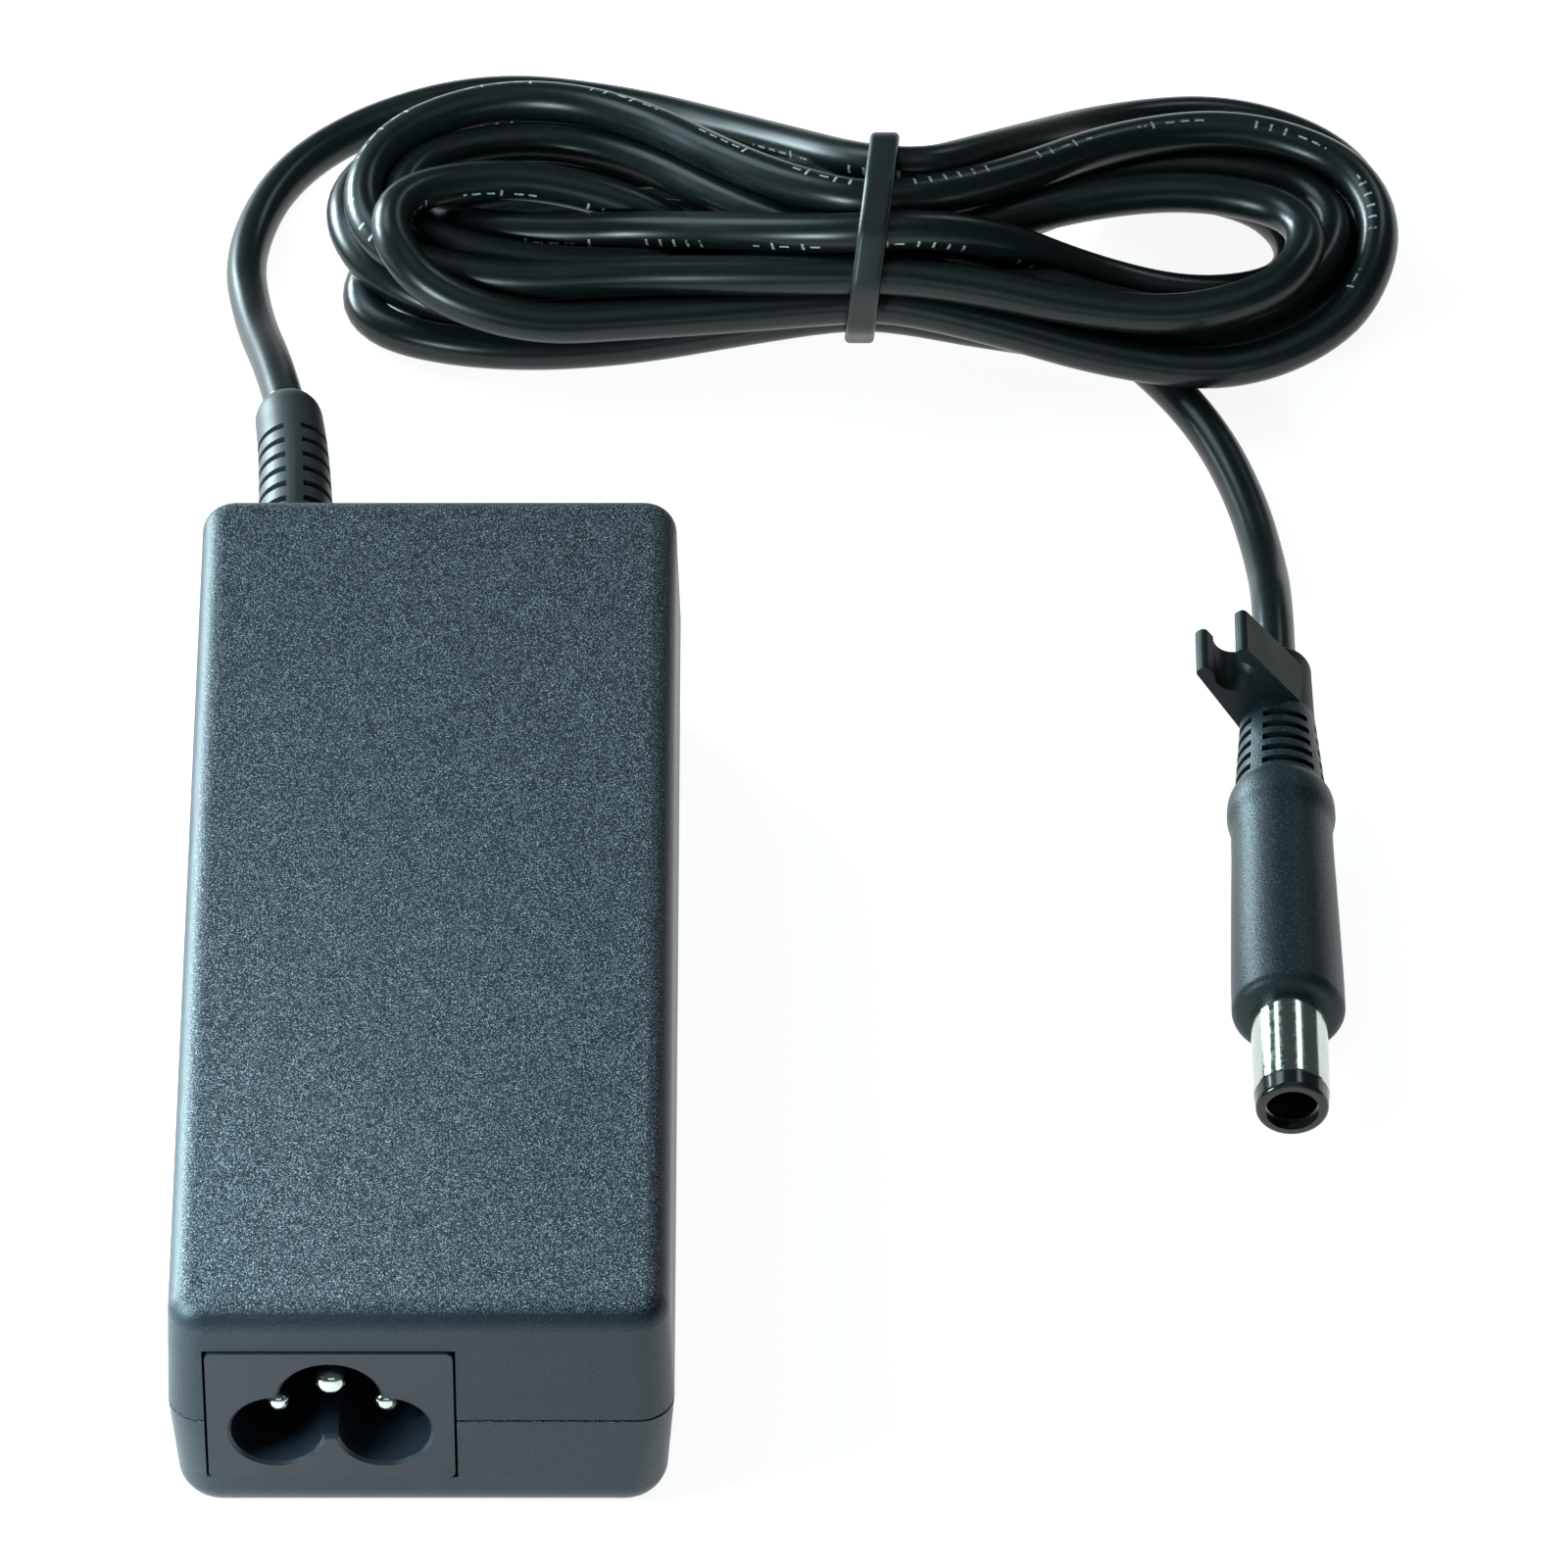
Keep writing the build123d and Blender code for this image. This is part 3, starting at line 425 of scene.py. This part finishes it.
def raw_route():
    """The cord's control points before its strands settle, from the strain relief to the plug."""
    points = OUTPUT_LEAD + TO_HANK
    for right, left in zip(RIGHT_LOOPS, LEFT_LOOPS):
        points += hank_loop(1, *right) + hank_loop(-1, *left)
    last_slot = LEFT_LOOPS[-1][1]
    points.append((HANK.x + LEAVE_WAIST, *hank_slot(last_slot)))
    return np.array(points + PLUG_LEAD)


def spline_weights(count):
    """How much each control point of an order 3 spline weighs at evenly spaced samples of the line."""
    rows = []
    for i in range(count - 2):
        for k in range(RELAX_SAMPLES):
            q = k / RELAX_SAMPLES
            row = np.zeros(count)
            first, middle, last = (1 - q) ** 2, 2 * q * (1 - q), q * q
            share = 1.0 if i == 0 else 0.5
            row[i] += first * share
            row[i + 1] += first * (1 - share) + middle
            share = 1.0 if i == count - 3 else 0.5
            row[i + 2] += last * share
            row[i + 1] += last * (1 - share)
            rows.append(row)
    rows.append(np.eye(count)[-1])
    return np.array(rows)


def way_along(line):
    """How far along the line each of its points lies."""
    steps = np.linalg.norm(np.diff(line, axis=0), axis=1)
    return np.concatenate([[0], np.cumsum(steps)])


def relaxed(route):
    """Moves the hank's points until its strands lie beside each other, one diameter apart."""
    weights = spline_weights(len(route))
    total = weights.sum(0)
    free = np.ones(len(route))
    free[:len(OUTPUT_LEAD)] = 0
    free[-len(PLUG_LEAD):] = 0
    points = route.copy()
    for _ in range(RELAX_ROUNDS):
        line = weights @ points
        along = way_along(line)
        gap = line[:, None] - line[None]
        apart = np.sqrt((gap ** 2).sum(-1))
        near = (apart < CORD_D) & (np.abs(along[:, None] - along[None]) > OWN_STRETCH)
        apart = np.maximum(apart, LEAST_GAP)
        push = np.where(near, (CORD_D - apart) * 0.5 / apart, 0.0)
        move = (gap * push[..., None]).sum(1) / np.sqrt(np.maximum(near.sum(1), 1))[:, None]
        off = line[:, 1:] - np.array(HANK.yz)
        radius = np.linalg.norm(off, axis=1)
        wide = (np.abs(line[:, 0] - HANK.x) < WAIST_HALF) & (radius > WAIST_R)
        move[wide, 1:] -= off[wide] / radius[wide, None] * (radius[wide] - WAIST_R)[:, None]
        step = (weights.T @ move) / total[:, None]
        step[:, 2] -= SETTLE
        points += step * free[:, None] * PACE
        shift = points - route
        shift[1:-1] = shift[1:-1] * (1 - 2 * SMOOTHING) + SMOOTHING * (shift[:-2] + shift[2:])
        points = route + shift * free[:, None]
        points[:, 2] = np.maximum(points[:, 2], LOWEST)
    return points


def guide_curve(points):
    """The points of the cord's centre line, read off a NURBS spline that is then removed."""
    curve = bpy.data.curves.new("cord_line", "CURVE")
    curve.dimensions = "3D"
    curve.resolution_u = LINE_STEPS
    spline = curve.splines.new("NURBS")
    spline.points.add(len(points) - 1)
    for place, point in zip(spline.points, points):
        place.co = (*point, 1)
    spline.order_u = 3
    spline.use_endpoint_u = True
    holder = bpy.data.objects.new("cord_line", curve)
    scene.collection.objects.link(holder)
    bpy.context.view_layer.update()
    mesh = bpy.data.meshes.new_from_object(holder)
    line = np.array([v.co for v in mesh.vertices])
    bpy.data.objects.remove(holder)
    bpy.data.meshes.remove(mesh)
    return line


def resampled(line, along, at):
    """The points of a line at given distances along it."""
    return np.stack([np.interp(at, along, line[:, k]) for k in range(line.shape[1])], 1)


def evenly(line, step):
    """The same line with points about one step apart, and how far along it each lies."""
    along = way_along(line)
    count = int(round(along[-1] / step))
    at = np.linspace(0, along[-1], count + 1)
    return resampled(line, along, at), at


def carried_frames(line):
    """Directions across a line, carried along it without twist."""
    tangents = np.gradient(line, axis=0)
    tangents /= np.linalg.norm(tangents, axis=1)[:, None]
    side = np.cross(tangents[0], (0, 0, 1))
    side /= np.linalg.norm(side)
    sides = []
    for tangent in tangents:
        side = side - tangent * side.dot(tangent)
        side = side / np.linalg.norm(side)
        sides.append(side)
    sides = np.array(sides)
    return sides, np.cross(sides, tangents)


def mesh_object(name, vertices, faces, smooth=True):
    mesh = bpy.data.meshes.new(name)
    mesh.from_pydata([tuple(v) for v in vertices], [], faces)
    mesh.polygons.foreach_set("use_smooth", [smooth] * len(mesh.polygons))
    mesh.update()
    piece = bpy.data.objects.new(name, mesh)
    scene.collection.objects.link(piece)
    return piece


def ring_faces(rings, size, closed=False):
    """Quads between neighbouring rings of vertices, and from the last ring to the first if closed."""
    faces = []
    for i in range(rings if closed else rings - 1):
        here, there = i * size, (i + 1) % rings * size
        for k in range(size):
            n = (k + 1) % size
            faces.append((here + k, here + n, there + n, there + k))
    return faces


def cord_tube(name, line):
    """The cord's jacket as a mesh tube with closed ends, unwrapped for its print."""
    centre, along = evenly(line, TUBE_STEP)
    sides, ups = carried_frames(centre)
    angles = np.arange(TUBE_SIDES) / TUBE_SIDES * 2 * pi
    rings = (centre[:, None] + CORD_D / 2 * (np.cos(angles)[None, :, None] * sides[:, None]
                                             + np.sin(angles)[None, :, None] * ups[:, None]))
    vertices = list(rings.reshape(-1, 3)) + [centre[0], centre[-1]]
    faces = ring_faces(len(centre), TUBE_SIDES)
    spots = []
    for i in range(len(centre) - 1):
        for k in range(TUBE_SIDES):
            spots.append([(k, i), (k + 1, i), (k + 1, i + 1), (k, i + 1)])
    last = (len(centre) - 1) * TUBE_SIDES
    first_cap, last_cap = len(vertices) - 2, len(vertices) - 1
    for k in range(TUBE_SIDES):
        n = (k + 1) % TUBE_SIDES
        faces.append((first_cap, n, k))
        faces.append((last_cap, last + k, last + n))
        spots += [[(0, 0)] * 3, [(0, 0)] * 3]
    piece = mesh_object(name, vertices, faces)
    layer = piece.data.uv_layers.new(name="UVMap")
    print_at = (PRINT_TURN + PRINT_TWIST * along) / (2 * pi)
    flat = []
    for corners in spots:
        turns = [k / TUBE_SIDES + print_at[i] for k, i in corners]
        base = np.floor(min(turns) + 0.5 / TUBE_SIDES)
        for turn, (_, i) in zip(turns, corners):
            flat += [turn - base, along[i]]
    layer.data.foreach_set("uv", flat)
    return piece


def build_cord():
    """The whole cord as one piece, and its centre line."""
    line = guide_curve(relaxed(raw_route()))
    cord = cord_tube("output_cord", line)
    cord.data.materials.append(FINISHES["cord_jacket"].material)
    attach(cord, "root")
    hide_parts("output_cord_lead", "cord_hank", "plug_cord_lead")
    return cord, line


# ================================================================ the tie band
def hull(points):
    """The corners of the outline round flat points, anticlockwise."""
    points = sorted(map(tuple, points))

    def half(walk):
        chain = []
        for p in walk:
            while len(chain) > 1 and ((chain[-1][0] - chain[-2][0]) * (p[1] - chain[-2][1])
                                      - (chain[-1][1] - chain[-2][1]) * (p[0] - chain[-2][0])) <= 0:
                chain.pop()
            chain.append(p)
        return chain[:-1]

    return half(points) + half(points[::-1])


def strands_at_waist(line):
    """(y, z) of every strand where it passes under the band."""
    fine, _ = evenly(line, WAIST_STEP)
    before = fine[:-1, 0] - HANK.x
    after = fine[1:, 0] - HANK.x
    crossing = np.where(before * after <= 0)[0]
    return fine[crossing][:, 1:]


def rounded_profile(width, height, radius, steps):
    """A rounded rectangle's outline as (x, y) points about its middle."""
    points = []
    for quarter, (sx, sy) in enumerate([(1, 1), (-1, 1), (-1, -1), (1, -1)]):
        cx, cy = sx * (width / 2 - radius), sy * (height / 2 - radius)
        for k in range(steps + 1):
            angle = radians(90 * quarter + 90 * k / steps)
            points.append((cx + radius * cos(angle), cy + radius * sin(angle)))
    return points


def build_band(line):
    """A stretched rubber ring, pulled taut round the strands and leaning a little."""
    corners = hull(strands_at_waist(line))
    clear = CORD_D / 2 + BAND_T / 2
    outline = []
    for angle in np.linspace(0, 2 * pi, BAND_RAYS, endpoint=False):
        out = np.array((cos(angle), sin(angle)))
        far = max(corners, key=lambda c: c[0] * out[0] + c[1] * out[1])
        outline.append(np.array(far) + out * clear)
    outline = np.array(outline + outline[:1])
    way_round = way_along(outline)
    at = np.linspace(0, way_round[-1], BAND_STATIONS, endpoint=False)
    loop = resampled(outline, way_round, at)
    for _ in range(BAND_SMOOTHINGS):
        loop = loop * 0.5 + 0.25 * (np.roll(loop, 1, 0) + np.roll(loop, -1, 0))
    tangent = np.roll(loop, -1, 0) - np.roll(loop, 1, 0)
    tangent /= np.linalg.norm(tangent, axis=1)[:, None]
    outward = np.stack([tangent[:, 1], -tangent[:, 0]], 1)
    profile = rounded_profile(BAND_W, BAND_T, BAND_EDGE_R, BAND_EDGE_STEPS)
    vertices = []
    for (y, z), (oy, oz) in zip(loop, outward):
        lean = BAND_LEAN * ((y - HANK.y) + (z - HANK.z))
        for across, rise in profile:
            vertices.append((HANK.x + lean + across, y + oy * rise, z + oz * rise))
    faces = ring_faces(BAND_STATIONS, len(profile), closed=True)
    band = mesh_object("tie_band", vertices, faces)
    band.data.materials.append(FINISHES["band_rubber"].material)
    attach(band, "root")
    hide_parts("cord_tie_band")
    return band


# ================================================================ studio
def area_light(name, at, target, size, power):
    light = bpy.data.lights.new(name, "AREA")
    light.shape = "RECTANGLE"
    light.size, light.size_y = size
    light.energy = power
    light.color = COOL
    holder = bpy.data.objects.new(name, light)
    holder.location = at
    holder.rotation_euler = (Vector(target) - Vector(at)).to_track_quat("-Z", "Y").to_euler()
    holder.visible_camera = False
    scene.collection.objects.link(holder)


def build_studio():
    corners = [(x * FLOOR_HALF, y * FLOOR_HALF, 0) for x, y in ((-1, -1), (1, -1), (1, 1), (-1, 1))]
    floor = mesh_object("floor", corners, [(0, 1, 2, 3)], smooth=False)
    paper = Finish("floor", (FLOOR_GREY, FLOOR_GREY, FLOOR_GREY), 0.8)
    paper.set("Emission Color", (1.0, 1.0, 1.0, 1))
    paper.set("Emission Strength", FLOOR_GLOW)
    floor.data.materials.append(paper.material)
    world = bpy.data.worlds.new("studio")
    world.use_nodes = True
    background = world.node_tree.nodes["Background"]
    background.inputs["Color"].default_value = (*COOL, 1)
    background.inputs["Strength"].default_value = WORLD_STRENGTH
    scene.world = world
    for light in LIGHTS:
        area_light(*light)


def build_camera():
    camera = bpy.data.cameras.new("camera")
    camera.lens = CAMERA_LENS
    camera.sensor_width = CAMERA_SENSOR
    camera.clip_start = 0.01
    holder = bpy.data.objects.new("camera", camera)
    holder.location = CAMERA_AT
    holder.rotation_euler = (radians(CAMERA_TILT), 0, 0)
    scene.collection.objects.link(holder)
    scene.camera = holder


# ================================================================ the whole
scene.view_settings.view_transform = "Standard"
finish_cad_nodes()
cord, cord_line = build_cord()
tie_band = build_band(cord_line)
build_studio()
build_camera()
